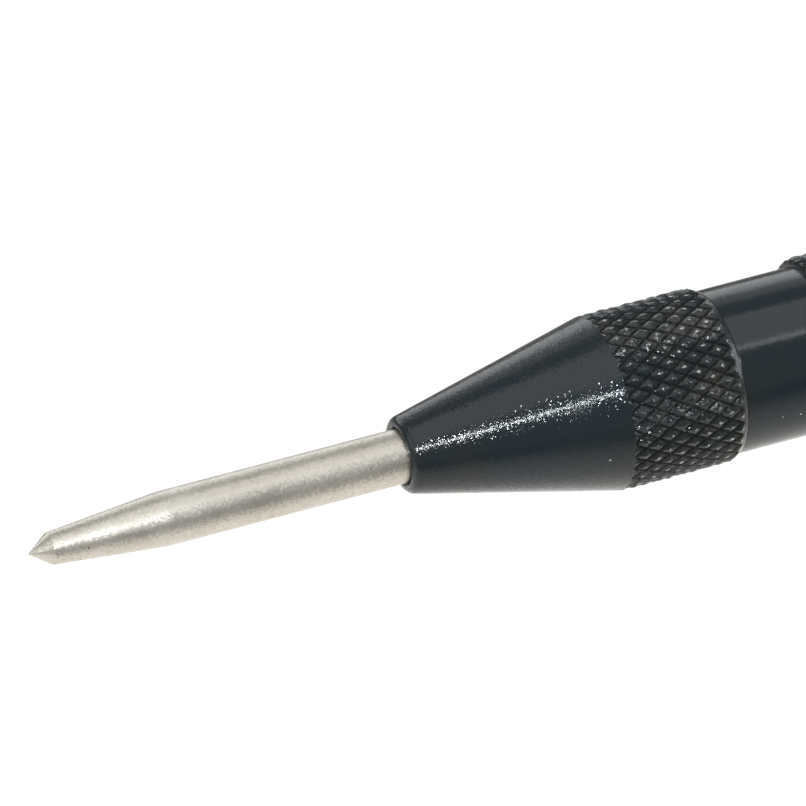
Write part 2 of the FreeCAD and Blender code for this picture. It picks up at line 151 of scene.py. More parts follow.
class Shader:
    """One material's node tree, built through a single node method."""

    def __init__(self, name: str) -> None:
        """Start an empty material of that name."""
        self.material = bpy.data.materials.new(name)
        self.material.use_nodes = True
        self.tree = self.material.node_tree
        self.tree.nodes.clear()
        self.place = self.node("ShaderNodeTexCoord").outputs["Object"]

    def node(self, kind: str, settings: dict[str, Any] | None = None,
             sockets: dict[Any, Any] | None = None) -> bpy.types.Node:
        """Add a node.

        Args:
            kind: the node's type.
            settings: attributes, set before the sockets.
            sockets: numbers, colours, sockets or values, by input name or number.

        Returns:
            The node.
        """
        made = self.tree.nodes.new(kind)
        for key, setting in (settings or {}).items():
            setattr(made, key, setting)
        for key, given in (sockets or {}).items():
            target = made.inputs[key]
            if isinstance(given, Value):
                given = given.socket
            if isinstance(given, bpy.types.NodeSocket):
                self.tree.links.new(given, target)
            elif target.type == "RGBA" and len(given) == 3:
                target.default_value = (*given, 1.0)
            else:
                target.default_value = given
        return made

    def noise(self, scale: float, detail: float = 2.0, stretch: Colour = (1, 1, 1)) -> Value:
        """Return soft noise between 0 and 1, its features about a metre / scale wide."""
        where = self.node("ShaderNodeMapping", None, {"Vector": self.place, "Scale": stretch})
        made = self.node("ShaderNodeTexNoise", None,
                         {"Vector": where.outputs[0], "Scale": scale, "Detail": detail})
        return Value(self, made.outputs["Fac"])

    def cells(self, scale: float) -> tuple[Value, bpy.types.NodeSocket]:
        """Return the distance to the nearest of scattered points, and that point's own colour."""
        made = self.node("ShaderNodeTexVoronoi", None, {"Vector": self.place, "Scale": scale})
        return Value(self, made.outputs["Distance"]), made.outputs["Color"]

    def split(self, vector: bpy.types.NodeSocket) -> tuple[Value, Value, Value]:
        """Return a vector's or a colour's three numbers."""
        made = self.node("ShaderNodeSeparateXYZ", None, {0: vector})
        return tuple(Value(self, output) for output in made.outputs)

    def attribute(self, name: str) -> Value:
        """Return a number stored on the piece's own vertices."""
        made = self.node("ShaderNodeAttribute", {"attribute_name": name})
        return Value(self, made.outputs["Fac"])

    def mix(self, factor: Value, start: Any, end: Any) -> bpy.types.NodeSocket:
        """Blend two colours."""
        made = self.node("ShaderNodeMix", {"data_type": "RGBA"}, {0: factor, 6: start, 7: end})
        return made.outputs[2]

    def vector(self, operation: str, *terms: Any) -> bpy.types.NodeSocket:
        """Add a Vector Math node; a SCALE node's second term is its scale."""
        sockets = dict(enumerate(terms))
        if operation == "SCALE":
            sockets = {0: terms[0], "Scale": terms[1]}
        made = self.node("ShaderNodeVectorMath", {"operation": operation}, sockets)
        return made.outputs[0]

    def flakes(self, scale: float, tilt: Any) -> bpy.types.NodeSocket:
        """Return the surface normal, tipped a little at random in each small cell.

        Args:
            scale: cells per metre.
            tilt: how far the normal tips, as a share of its length.

        Returns:
            The normal's socket.
        """
        normal = self.node("ShaderNodeNewGeometry").outputs["Normal"]
        _, colour = self.cells(scale)
        tip = self.vector("SUBTRACT", colour, (0.5, 0.5, 0.5))
        tipped = self.vector("ADD", normal, self.vector("SCALE", tip, tilt))
        return self.vector("NORMALIZE", tipped)

    def bump(self, height: Value, depth: float, normal: Any = None) -> bpy.types.NodeSocket:
        """Return a normal bent by a height of up to depth metres."""
        sockets = {"Height": height, "Distance": depth}
        if normal is not None:
            sockets["Normal"] = normal
        return self.node("ShaderNodeBump", None, sockets).outputs[0]

    def finish(self, constants: dict[str, Any], shadow: Value | None = None,
               **varying: Any) -> bpy.types.Material:
        """Close the tree with a Principled shader.

        Args:
            constants: sockets that are the same all over.
            shadow: where painted groove shade, a dull near-black shader, replaces the surface, if
                anywhere.
            varying: sockets that change over the surface, with _ for a space in their names.

        Returns:
            The material.
        """
        named = {key.replace("_", " ").title(): given for key, given in varying.items()}
        surface = self.node("ShaderNodeBsdfPrincipled", None, constants | named).outputs[0]
        if shadow is not None:
            # Painted shade: mix towards the dull near-black shader wherever shadow asks for it.
            painted_shade = self.node("ShaderNodeBsdfPrincipled", None, PAINTED_GROOVE_SHADE)
            surface = self.node("ShaderNodeMixShader", None,
                                {0: shadow, 1: surface, 2: painted_shade.outputs[0]}).outputs[0]
        self.node("ShaderNodeOutputMaterial", None, {"Surface": surface})
        return self.material


# ---------------------------------------------------------------------------
# Finishes
# ---------------------------------------------------------------------------

@dataclass(frozen=True)
class GroundSteel:
    """Warm grey steel, ground along its length, with a fine bright grain.

    Noise and cells are given by how many of their features fit in a metre.
    """

    name: str = "ground_steel"
    colour: Colour = (0.71, 0.685, 0.63)
    shade: Colour = (0.47, 0.445, 0.385)
    roughness: float = 0.32
    grain: float = 8000.0
    grain_tilt: float = 0.15
    streak: float = 900.0
    streak_stretch: Colour = (0.04, 1, 1)
    blotch: float = 260.0
    pitted: Colour = (0.12, 0.10, 0.08)
    pit_cells: float = 900.0
    pit_groups: float = 300.0
    tooth: float = 5200.0
    tooth_depth: float = 7e-6

    def material(self) -> bpy.types.Material:
        """Build the material.

        Returns:
            Metal whose colour and gloss vary in long streaks, cell by cell tipped for its grain.
        """
        s = Shader(self.name)
        streak = s.noise(self.streak, 3.0, self.streak_stretch)
        blotch = s.noise(self.blotch, 3.0)
        pits, _ = s.cells(self.pit_cells)
        pit = pits.ramp(0.14, 0.05) * s.noise(self.pit_groups).ramp(0.56, 0.66)
        _, own = s.cells(self.grain)
        worn = (streak * 0.6 + blotch * 0.4).ramp(0.36, 0.68)
        tone = s.mix(worn * 0.45 + s.split(own)[0] * 0.55, self.shade, self.colour)
        return s.finish(
            {"Metallic": 1.0},
            base_color=s.mix(pit * 0.6, tone, self.pitted),
            roughness=self.roughness + 0.10 * blotch + 0.06 * streak,
            normal=s.bump(s.noise(self.tooth, 2.0), self.tooth_depth,
                          s.flakes(self.grain, self.grain_tilt)))


@dataclass(frozen=True)
class BlackOxide:
    """Glossy blue-black finish on turned steel, worn on knurled crests and grimy below them, with
    painted shade in the grooves.
    """

    name: str = "black_oxide"
    cool: Colour = (0.0075, 0.0135, 0.018)
    warm: Colour = (0.011, 0.0148, 0.015)
    grime: Colour = (0.030, 0.027, 0.020)
    bare: Colour = (0.60, 0.60, 0.58)
    lint: Colour = (0.75, 0.74, 0.72)
    roughness: float = 0.11
    grain: float = 15000.0
    grain_tilt: float = 0.36
    grip_tilt: float = 0.10
    least_tilt: float = 0.025
    tints: float = 120.0
    patches: float = 300.0
    flecks: float = 3600.0
    dust_cells: float = 1300.0
    gloss: float = 0.44

    def material(self) -> bpy.types.Material:
        """Build the material.

        Each grain cell tips by its own lift, the square of a number hashed from two of its
        colour's parts: the fraction of 3.7 * red + 7.3 * blue.

        Returns:
            A dark gloss in two tints with sparkling grain and dust; the piece's own crest and
            grip attributes say where it is knurled, and there it is worn and dirty, with painted
            shade in its grooves.
        """
        s = Shader(self.name)
        crest = s.attribute("crest")
        grip = s.attribute("grip")
        tint = s.noise(self.tints, 3.0).ramp(0.35, 0.68)
        patch = s.noise(self.patches, 3.0)
        fleck = s.noise(self.flecks, 2.0)
        speck, own = s.cells(self.dust_cells)
        chance, size, _ = s.split(own)
        dust = speck.ramp(0.13, 0.07) * chance.ramp(0.955, 0.965)
        worn = crest.ramp(0.84, 0.98) * (fleck * 0.6 + patch * 0.4).ramp(0.50, 0.57) * grip
        dirt = crest.ramp(0.9, 0.3) * patch.ramp(0.50, 0.68) * grip
        _, tips = s.cells(self.grain)
        red, _, blue = s.split(tips)
        lift = (red * 3.7 + blue * 7.3).math("FRACT") ** 2.0
        tone = s.mix(tint, self.cool, self.warm)
        tone = s.mix(dirt * 0.7, tone, self.grime)
        tone = s.mix(worn * 0.75, tone, self.bare)
        tone = s.mix(dust * (size * 0.5 + 0.4), tone, self.lint)
        tilt = self.grain_tilt * lift + self.grip_tilt * grip + self.least_tilt
        return s.finish(
            {"Specular IOR Level": self.gloss},
            # Painted shade: the knurl's grooves are mixed towards a dull near-black shader.
            shadow=crest.ramp(0.42, 0.10) * grip * (fleck.ramp(0.35, 0.6) * 0.45 + 0.45),
            base_color=tone, metallic=worn * 0.85,
            roughness=self.roughness + 0.09 * patch.ramp(0.4, 0.75) + 0.3 * dust + 0.12 * dirt,
            normal=s.flakes(self.grain, tilt))


@dataclass(frozen=True)
class TurnedSteel:
    """Hardened steel with fine turning marks round the axis."""

    name: str = "turned_steel"
    colour: Colour = (0.50, 0.49, 0.47)
    stained: Colour = (0.33, 0.31, 0.28)
    roughness: float = 0.30
    marks: float = 9000.0
    marks_stretch: Colour = (1, 0.02, 0.02)
    mark_depth: float = 2e-6
    stains: float = 350.0

    def material(self) -> bpy.types.Material:
        """Build the material.

        Returns:
            Metal whose fine rings come from noise stretched round the axis.
        """
        s = Shader(self.name)
        rings = s.noise(self.marks, 1.0, self.marks_stretch)
        stain = s.noise(self.stains, 3.0)
        tone = s.mix(stain.ramp(0.35, 0.7), self.stained, self.colour)
        return s.finish({"Metallic": 1.0}, base_color=tone,
                        roughness=self.roughness + 0.15 * stain,
                        normal=s.bump(rings, self.mark_depth))


@dataclass(frozen=True)
class SpringWire:
    """Dark drawn wire under a film of oil."""

    name: str = "spring_wire"
    colour: Colour = (0.30, 0.29, 0.27)
    oiled: Colour = (0.12, 0.11, 0.10)
    roughness: float = 0.28
    blots: float = 700.0

    def material(self) -> bpy.types.Material:
        """Build the material.

        Returns:
            Metal with blotches of darker oil.
        """
        s = Shader(self.name)
        oil = s.noise(self.blots, 3.0)
        tone = s.mix(oil.ramp(0.35, 0.7), self.oiled, self.colour)
        return s.finish({"Metallic": 1.0}, base_color=tone,
                        roughness=self.roughness + 0.2 * oil)


# ---------------------------------------------------------------------------
# Surfaces
# ---------------------------------------------------------------------------

def rounded(corners: Sequence[Sequence[float]], steps: int = 6) -> np.ndarray:
    """Outline through corners, each replaced by an arc of its own radius where it has one.

    The arc of radius r at a corner between unit directions u (in) and v (out) starts
    r * tan(half the turn) before the corner and turns evenly from u to v.

    Args:
        corners: (along, radius from the axis, arc radius) of each corner.
        steps: points on each arc.

    Returns:
        The outline's points, one to a row.
    """
    places = np.array([corner[:2] for corner in corners], float)
    stretches = [places[:1]]
    for number in range(1, len(corners) - 1):
        arc = corners[number][2]
        if arc <= 0:
            stretches.append(places[number:number + 1])
            continue
        inward = places[number] - places[number - 1]
        outward = places[number + 1] - places[number]
        inward = inward / np.hypot(*inward)
        outward = outward / np.hypot(*outward)
        turn = math.atan2(inward[0] * outward[1] - inward[1] * outward[0], inward @ outward)
        start = places[number] - inward * arc * math.tan(abs(turn) / 2)
        side = math.copysign(1.0, turn)
        across = side * np.array([-inward[1], inward[0]])
        angles = np.linspace(0, abs(turn), steps)[:, None]
        stretches.append(start + arc * (np.sin(angles) * inward + (1 - np.cos(angles)) * across))
    stretches.append(places[-1:])
    return np.concatenate(stretches)


def spaced(points: np.ndarray, low: float, high: float, step: float,
           guard: float = 0.04, room: float = 0.05) -> np.ndarray:
    """Add points to an outline, a step apart along the axis, between two places on it.

    Args:
        points: the outline, running towards +X as far as there.
        low: where the added points start, on the outline.
        high: where they end.
        step: their spacing.
        guard: how far in front of them one more point stands where the surface runs on in
            front, which keeps the shading of the two stretches apart.
        room: how far the surface has to run on for that.

    Returns:
        The outline with its own points inside the stretch replaced by even ones.
    """
    along = low + step * np.arange(int((high - low) / step + CLOSE) + 1)
    before = points[: np.argmax(points[:, 0] >= low - HAIR)]
    if before[-1, 0] < low - room:
        along = np.insert(along, 0, low - guard)
    later = np.nonzero(points[:, 0] > along[-1] + HAIR)[0][0]
    radius = np.interp(along, points[:later + 1, 0], points[:later + 1, 1])
    return np.concatenate([before, np.stack([along, radius], 1), points[later:]])


def spin(outline: np.ndarray, columns: int) -> tuple[np.ndarray, np.ndarray, np.ndarray]:
    """Carry an outline round the axis: the grid of places along, angles and radii.

    Args:
        outline: (along, radius) points.
        columns: how many columns go round.

    Returns:
        Three arrays of rows by columns.
    """
    angle = TURN * np.arange(columns) / columns
    along, angle = np.meshgrid(outline[:, 0], angle, indexing="ij")
    radius = np.repeat(outline[:, 1:], columns, axis=1)
    return along, angle, radius


def on_axis(along: np.ndarray, angle: np.ndarray, radius: np.ndarray) -> np.ndarray:
    """Turn places along, angles from +Z and radii into points: (x, -r sin a, r cos a)."""
    return np.stack([along, -radius * np.sin(angle), radius * np.cos(angle)], axis=-1)


def skin(name: str, grid: np.ndarray, wrapped: bool,
         **attributes: np.ndarray) -> bpy.types.Object:
    """Close a grid of points into a mesh of triangles.

    Columns always join round, and points are in millimetres. Each four-sided cell is cut
    along the diagonal whose ends differ least in distance from the axis, which keeps the
    lines of a pattern crisp.

    Args:
        name: the piece's name.
        grid: points, rows by columns by 3, with rows running so that faces look outwards.
        wrapped: the last row joins the first; otherwise each end row closes on its middle.
        attributes: numbers to store on the vertices, rows by columns.

    Returns:
        The mesh object.
    """
    rows, columns = grid.shape[:2]
    number = np.arange(rows * columns).reshape(rows, columns)
    here = number if wrapped else number[:-1]
    ahead = np.roll(number, -1, axis=0) if wrapped else number[1:]
    a, b = here, np.roll(here, -1, axis=1)
    d, c = ahead, np.roll(ahead, -1, axis=1)
    out = np.hypot(grid[..., 1], grid[..., 2]).ravel()
    cut_ac = (np.abs(out[a] - out[c]) <= np.abs(out[b] - out[d]))[..., None]
    first = np.where(cut_ac, np.stack([a, b, c], -1), np.stack([a, b, d], -1))
    second = np.where(cut_ac, np.stack([a, c, d], -1), np.stack([b, c, d], -1))
    triangles = [first.reshape(-1, 3), second.reshape(-1, 3)]
    points = grid.reshape(-1, 3)
    if not wrapped:
        middles = np.stack([grid[0].mean(0), grid[-1].mean(0)])
        points = np.concatenate([points, middles])
        head, tail = rows * columns, rows * columns + 1
        fan = np.full(columns, head)
        triangles.append(np.stack([fan, np.roll(number[0], -1), number[0]], -1))
        triangles.append(np.stack([fan * 0 + tail, number[-1], np.roll(number[-1], -1)], -1))
    faces = np.concatenate(triangles)
    mesh = bpy.data.meshes.new(name)
    mesh.vertices.add(len(points))
    mesh.vertices.foreach_set("co", (points * MM).astype(np.float32).ravel())
    mesh.loops.add(faces.size)
    mesh.loops.foreach_set("vertex_index", faces.astype(np.int32).ravel())
    mesh.polygons.add(len(faces))
    mesh.polygons.foreach_set("loop_start", np.arange(0, faces.size, 3, dtype=np.int32))
    mesh.polygons.foreach_set("use_smooth", np.ones(len(faces), bool))
    mesh.update(calc_edges=True)
    for key, numbers in attributes.items():
        stored = np.zeros(len(points), np.float32)
        stored[:rows * columns] = numbers.ravel()
        mesh.attributes.new(key, "FLOAT", "POINT").data.foreach_set("value", stored)
    mesh.validate()
    mesh.set_sharp_from_angle(angle=SHARP)
    piece = bpy.data.objects.new(name, mesh)
    bpy.context.scene.collection.objects.link(piece)
    return piece


@dataclass(frozen=True)
class Knurl:
    """Diamond knurling pressed into a round band. Lengths are in millimetres."""

    starts: int
    radius: float
    diamond: float = 2.06
    depth: float = 0.25
    crest: float = 0.62
    cells: int = 12
    reach: float = 0.4
    flattening: float = 0.3

    @property
    def columns(self) -> int:
        """How many columns go round, so that the grid follows both sets of grooves."""
        return self.starts * self.cells

    @property
    def step(self) -> float:
        """How far apart the rows are."""
        return self.diamond / self.cells

    def height(self, along: np.ndarray, angle: np.ndarray) -> np.ndarray:
        """Height of the pattern, 0 in a groove and 1 on a crest.

        Two sets of helical grooves cross. Where along / diamond + angle * starts / turn or
        along / diamond - angle * starts / turn is whole, a groove runs. The height rises
        with the distance to the nearer groove and rounds over beyond the crest's share.

        Args:
            along: places along the axis, from the pattern's own start.
            angle: angles round it.

        Returns:
            Heights of the same shape.
        """
        forward = along / self.diamond + angle * self.starts / TURN
        backward = along / self.diamond - angle * self.starts / TURN
        near = np.minimum(np.abs(forward - np.round(forward)),
                          np.abs(backward - np.round(backward)))
        share = near * 2
        span = 1 - self.crest
        return (share - np.maximum(share - self.crest, 0) ** 2 / (2 * span)) / (1 - span / 2)

    def unevenness(self, along: np.ndarray, angle: np.ndarray) -> np.ndarray:
        """How low crests stand, as a share of the flattening: waves round the band and along it.

        Args:
            along: places along the axis.
            angle: angles round it.

        Returns:
            Shares of the same shape.
        """
        return 0.1 + (0.05 * np.sin(angle * 7 + along * 1.9)
                      + 0.05 * np.sin(angle * 23 - along * 4.3)
                      + 0.12 * np.sin(angle * 13 + along * 2.7) * np.sin(angle * 5 - along * 3.1))

    def press(self, along: np.ndarray, angle: np.ndarray, radius: np.ndarray,
              low: float, high: float, lead: float) -> tuple[np.ndarray, np.ndarray, np.ndarray]:
        """Press the pattern into the outer surface of a grid between two places.

        The radius becomes the least of the plain one and band radius - depth * (1 - height),
        less the unevenness of its crests, so grooves run out where the plain surface dips
        below their floor. Only surface within reach of the band's radius is pressed.

        Args:
            along: places along the axis.
            angle: angles round it.
            radius: the plain surface's radii.
            low: where the band starts.
            high: where it ends.
            lead: how far the pattern takes to reach its depth at the start.

        Returns:
            The new radii, the crest heights and the share of knurling at each point.
        """
        within = (along <= high) * (radius > self.radius - self.reach)
        grip = np.clip((along - low) / lead, 0, 1) * within
        height = self.height(along - low, angle)
        flattened = self.unevenness(along, angle) * height * self.flattening
        pressed = self.radius - self.depth * (1 - height) - flattened
        sunk = np.minimum(radius, self.radius - (self.radius - pressed) * grip)
        return np.where(grip > 0, sunk, radius), height * grip, grip


def thread(along: np.ndarray, angle: np.ndarray, start: float,
           pitch: float = 1.0, flat: float = 0.125) -> np.ndarray:
    """Depth of a right-handed thread's groove, from 0 on the crest to 1 at the root.

    The groove's middle stands at start + pitch * angle / turn. Between a flat root and a
    flat crest the depth falls evenly with the distance from that middle.

    Args:
        along: places along the axis.
        angle: angles round it.
        start: the groove's middle at angle 0.
        pitch: distance between grooves.
        flat: width of the root, and of the crest, in pitches.

    Returns:
        Depths of the same shape.
    """
    turns = (along - start) / pitch - angle / TURN
    away = np.abs(turns - np.round(turns))
    return np.clip((0.5 - flat / 2 - away) / (0.5 - flat), 0, 1)


# ---------------------------------------------------------------------------
# Sub-assemblies
# ---------------------------------------------------------------------------

def settle(piece: bpy.types.Object, node: str, body: str,
           finish: bpy.types.Material) -> bpy.types.Object:
    """Dress a piece and let it stand for a CAD node on its body.

    Args:
        piece: the new mesh object.
        node: the CAD node that it replaces.
        body: the body that it rides on.
        finish: its material.

    Returns:
        The piece.
    """
    piece.data.materials.append(finish)
    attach(piece, body)
    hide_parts(node)
    log.info("%s: %d triangles on %s", piece.name, len(piece.data.polygons), body)
    return piece


def front_of(node: str) -> float:
    """Place of a CAD node's front end along the axis, in millimetres."""
    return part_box(node)[0].x / MM


@dataclass
class PunchPoint:
    """Steel rod with a ground tip, a taper, a shank, and a collar that keeps it in the nose."""

    apex_radius: float = 0.07
    apex_round: float = 0.05
    apex_flat: float = 0.4
    apex_rise: float = 0.5
    tip_length: float = 1.7945
    tip_radius: float = 1.28
    tip_round: float = 0.06
    taper_end: float = 11.2445
    taper_round: float = 1.2
    shank_radius: float = 2.15
    collar_start: float = 37.2445
    collar_radius: float = 3.0
    collar_round: float = 0.15
    length: float = 40.2445
    socket_centre: float = 38.8445
    socket_radius: float = 1.6
    socket_rim: float = 0.05
    socket_rows: int = 16
    facets: int = 6
    facet_dip: float = 0.06
    facet_fade: float = 0.25
    columns: int = 192

    def build(self, finish: bpy.types.Material) -> bpy.types.Object:
        """Build the point.

        Its outline is the tip's cone, the taper and the shank, then the collar and the
        socket's hollow, a quarter circle. The tip's radius dips at its ground facets, as
        1 - dip * |sin(facets * angle / 2)|, and the dip fades out before the taper.

        Args:
            finish: the material.

        Returns:
            The piece.
        """
        slope = self.tip_radius / self.tip_length
        outer = rounded([
            (self.apex_radius * self.apex_rise / slope, self.apex_radius * self.apex_flat, 0),
            (self.apex_radius / slope, self.apex_radius, self.apex_round),
            (self.tip_length, self.tip_radius, self.tip_round),
            (self.taper_end, self.shank_radius, self.taper_round),
            (self.collar_start, self.shank_radius, 0),
            (self.collar_start, self.collar_radius, self.collar_round),
            (self.length, self.collar_radius, self.collar_round),
            (self.length, self.socket_radius + self.socket_rim, 0),
            (self.socket_centre, self.socket_radius + self.socket_rim, 0)])
        swing = np.linspace(0, math.pi / 2, self.socket_rows, endpoint=False)[:, None]
        bowl = np.hstack([self.socket_centre - self.socket_radius * np.sin(swing),
                          self.socket_radius * np.cos(swing)])
        along, angle, radius = spin(np.concatenate([outer, bowl]), self.columns)
        facet = 1 - self.facet_dip * np.abs(np.sin(self.facets * angle / 2))
        share = np.clip((self.tip_length - along) / self.facet_fade, 0, 1)
        radius = radius * (1 + (facet - 1) * share)
        piece = skin("ground_point", on_axis(along, angle, radius), False)
        return settle(piece, "punch_point", "point", finish)


@dataclass
class NoseCone:
    """Black cone with a knurled band behind, hollow round the point and its spring."""

    length: float = 26.6
    cone_length: float = 17.2
    front_radius: float = 3.0
    front_round: float = 0.7
    seam: float = 0.8
    seam_radius: float = 6.55
    seam_round: float = 0.08
    bore: float = 2.25
    bore_bevel: float = 0.15
    bore_end: float = 6.0
    chamber: float = 3.8
    chamber_end: float = 17.4
    thread_bore: float = 4.995
    thread_start: float = 18.8
    relief: float = 5.7
    relief_length: float = 0.75
    relief_bevel: float = 1.5
    arc_rows: int = 9
    knurl_lead: float = 0.35
    knurl_fade: float = 0.16
    knurl_inset: float = 0.1
    run_out: float = 0.45
    knurl: Knurl = Knurl(34, 7.0)

    def build(self, finish: bpy.types.Material) -> bpy.types.Object:
        """Build the nose from one closed outline carried round the axis.

        The knurling starts just inside the cone and runs out on the bevel of the seam,
        where a smooth ring is left.

        Args:
            finish: the material.

        Returns:
            The piece.
        """
        front = front_of("nose_cone")
        band = self.knurl.radius
        outline = rounded([
            (0, self.bore + self.bore_bevel, 0), (0, self.front_radius, self.front_round),
            (self.cone_length, band, 0), (self.length - self.seam, band, 0),
            (self.length, self.seam_radius, self.seam_round), (self.length, self.relief, 0),
            (self.length - self.relief_length, self.relief, 0),
            (self.length - self.relief_bevel, self.thread_bore, 0),
            (self.thread_start, self.thread_bore, 0), (self.thread_start, self.relief, 0),
            (self.chamber_end, self.relief, 0), (self.chamber_end, self.chamber, 0),
            (self.bore_end, self.chamber, 0), (self.bore_end, self.bore, 0),
            (self.bore_bevel, self.bore, 0)], self.arc_rows)
        start = self.cone_length - self.knurl_lead
        outline = spaced(outline, start, self.length - self.knurl_inset, self.knurl.step)
        along, angle, radius = spin(outline, self.knurl.columns)
        end = self.length - self.seam + self.run_out
        radius, crest, grip = self.knurl.press(
            along, angle, radius, start, end, self.knurl_fade)
        grid = on_axis(along + front, angle, radius)
        piece = skin("knurled_nose", grid, True, crest=crest, grip=grip)
        return settle(piece, "nose_cone", "housing", finish)


@dataclass
class Barrel:
    """Black tube with a knurled grip band, and a thread behind for the cap."""

    spigot: float = 8.0
    spigot_radius: float = 4.85
    tube: float = 6.5
    tube_round: float = 0.12
    grip_start: float = 16.0
    grip_length: float = 13.0
    grip_round: float = 0.665
    shoulder: float = 54.2
    shoulder_round: float = 0.1
    undercut: float = 1.5
    undercut_radius: float = 5.3
    thread_length: float = 8.5
    thread_radius: float = 6.0
    thread_depth: float = 0.6
    thread_bevel: float = 0.4
    thread_step: float = 0.125
    flank: float = 0.05
    pocket: float = 4.1
    pocket_length: float = 10.2
    guide: float = 2.3
    guide_length: float = 6.0
    guide_bevel: float = 0.6
    hammer_bore: float = 4.75
    arc_rows: int = 7
    inset: float = 0.02
    knurl: Knurl = Knurl(35, 7.2)

    def build(self, finish: bpy.types.Material) -> bpy.types.Object:
        """Build the barrel from one closed outline carried round the axis.

        The rear thread takes its depth * groove off the crest's radius. Even rows keep an
        inset from the corners at their ends.

        Args:
            finish: the material.

        Returns:
            The piece.
        """
        front = front_of("barrel")
        grip_end = self.grip_start + self.grip_length
        thread_start = self.shoulder + self.undercut
        end = thread_start + self.thread_length
        guide_end = self.pocket_length + self.guide_length
        outline = rounded([
            (0, self.pocket, 0), (0, self.spigot_radius, 0), (self.spigot, self.spigot_radius, 0),
            (self.spigot, self.tube, self.tube_round), (self.grip_start, self.tube, 0),
            (self.grip_start, self.knurl.radius, self.grip_round),
            (grip_end, self.knurl.radius, self.grip_round), (grip_end, self.tube, 0),
            (self.shoulder, self.tube, self.shoulder_round),
            (self.shoulder, self.undercut_radius, 0), (thread_start, self.undercut_radius, 0),
            (thread_start + self.flank, self.thread_radius, 0),
            (end - self.thread_bevel, self.thread_radius, 0),
            (end, self.thread_radius - self.thread_bevel, 0),
            (end, self.hammer_bore, 0), (guide_end, self.hammer_bore, 0),
            (guide_end, self.guide, 0), (self.pocket_length + self.guide_bevel, self.guide, 0),
            (self.pocket_length, self.guide + self.guide_bevel, 0),
            (self.pocket_length, self.pocket, 0)], self.arc_rows)
        outline = spaced(outline, self.grip_start + self.inset, grip_end - self.inset,
                         self.knurl.step)
        outline = spaced(outline, thread_start + self.flank, end - self.inset,
                         self.thread_step)
        along, angle, radius = spin(outline, self.knurl.columns)
        radius, crest, grip = self.knurl.press(
            along, angle, radius, self.grip_start, grip_end, self.inset)
        threaded = (along > thread_start + self.flank / 2) & (radius > self.undercut_radius)
        groove = self.thread_depth * thread(along, angle, self.shoulder + self.undercut / 2)
        radius = np.where(threaded, np.minimum(radius, self.thread_radius - groove), radius)
        grid = on_axis(along + front, angle, radius)
        piece = skin("banded_barrel", grid, True, crest=crest, grip=grip)
        return settle(piece, "barrel", "housing", finish)


@dataclass
class AdjustingCap:
    """Black cap with a rim, a knurled band and a rounded end, threaded inside."""

    length: float = 25.7
    rim_radius: float = 6.8
    rim_length: float = 2.0
    rim_round: float = 0.3
    band_end: float = 16.0
    neck_radius: float = 6.3
    neck_round: float = 0.1
    neck_end: float = 16.8
    end_radius: float = 5.5
    end_round: float = 1.5
    pole: float = 0.05
    mouth: float = 6.1
    mouth_depth: float = 0.5
    bore: float = 5.495
    thread_start: float = 0.99
    thread_end: float = 12.7
    thread_radius: float = 6.05
    thread_depth: float = 0.55
    thread_step: float = 1 / 6
    undercut: float = 1.5
    shoulder_gap: float = 0.3
    relief: float = 6.2
    relief_length: float = 1.4
    floor: float = 20.75
    arc_rows: int = 10
    lip: float = 0.01
    knurl_fade: float = 0.16
    knurl_inset: float = 0.15
    knurl: Knurl = Knurl(35, 7.2)

    def build(self, finish: bpy.types.Material) -> bpy.types.Object:
        """Build the cap from one closed outline carried round the axis.

        The inner thread follows the barrel's groove, a little outside it all round. The
        groove's middle stands half the barrel's undercut behind its shoulder, and the cap's
        mouth a gap behind it. A lip is the short step between two rows at an edge.

        Args:
            finish: the material.

        Returns:
            The piece.
        """
        front = front_of("adjusting_cap")
        outer = rounded([
            (0, self.mouth, 0), (0, self.rim_radius, self.rim_round),
            (self.rim_length, self.rim_radius, 0),
            (self.rim_length + self.lip, self.knurl.radius, 0),
            (self.band_end, self.knurl.radius, 0),
            (self.neck_end, self.neck_radius, self.neck_round),
            (self.length, self.end_radius, self.end_round), (self.length, self.pole, 0)],
            self.arc_rows)
        outer = spaced(outer, self.rim_length + 2 * self.lip, self.neck_end - self.knurl_inset,
                       self.knurl.step)
        relief_end = self.thread_end + self.relief_length
        inner = np.array([(self.floor, self.pole), (self.floor, self.bore),
                          (relief_end, self.bore), (relief_end, self.relief),
                          (self.thread_end + self.lip, self.relief)])
        rows = np.arange(self.thread_end, self.thread_start, -self.thread_step)
        threaded = np.stack([rows, np.full(len(rows), self.bore)], 1)
        mouth = [(self.mouth_depth, self.mouth)]
        outline = np.concatenate([outer, inner, threaded, mouth])
        along, angle, radius = spin(outline, self.knurl.columns)
        outside = (np.arange(len(outline)) < len(outer))[:, None]
        pressed, crest, grip = self.knurl.press(
            along, angle, radius, self.rim_length, self.neck_end, self.knurl_fade)
        radius = np.where(outside, pressed, radius)
        start = self.undercut / 2 - self.shoulder_gap
        groove = self.thread_radius - self.thread_depth * thread(along, angle, start)
        bored = ~outside & (np.abs(radius - self.bore) < CLOSE)
        is_thread = bored & (along < self.thread_end + self.lip / 2)
        radius = np.where(is_thread, np.maximum(radius, groove), radius)
        grid = on_axis(along + front, angle, radius)
        piece = skin("screw_cap", grid, True, crest=crest * outside, grip=grip * outside)
        return settle(piece, "adjusting_cap", "cap", finish)


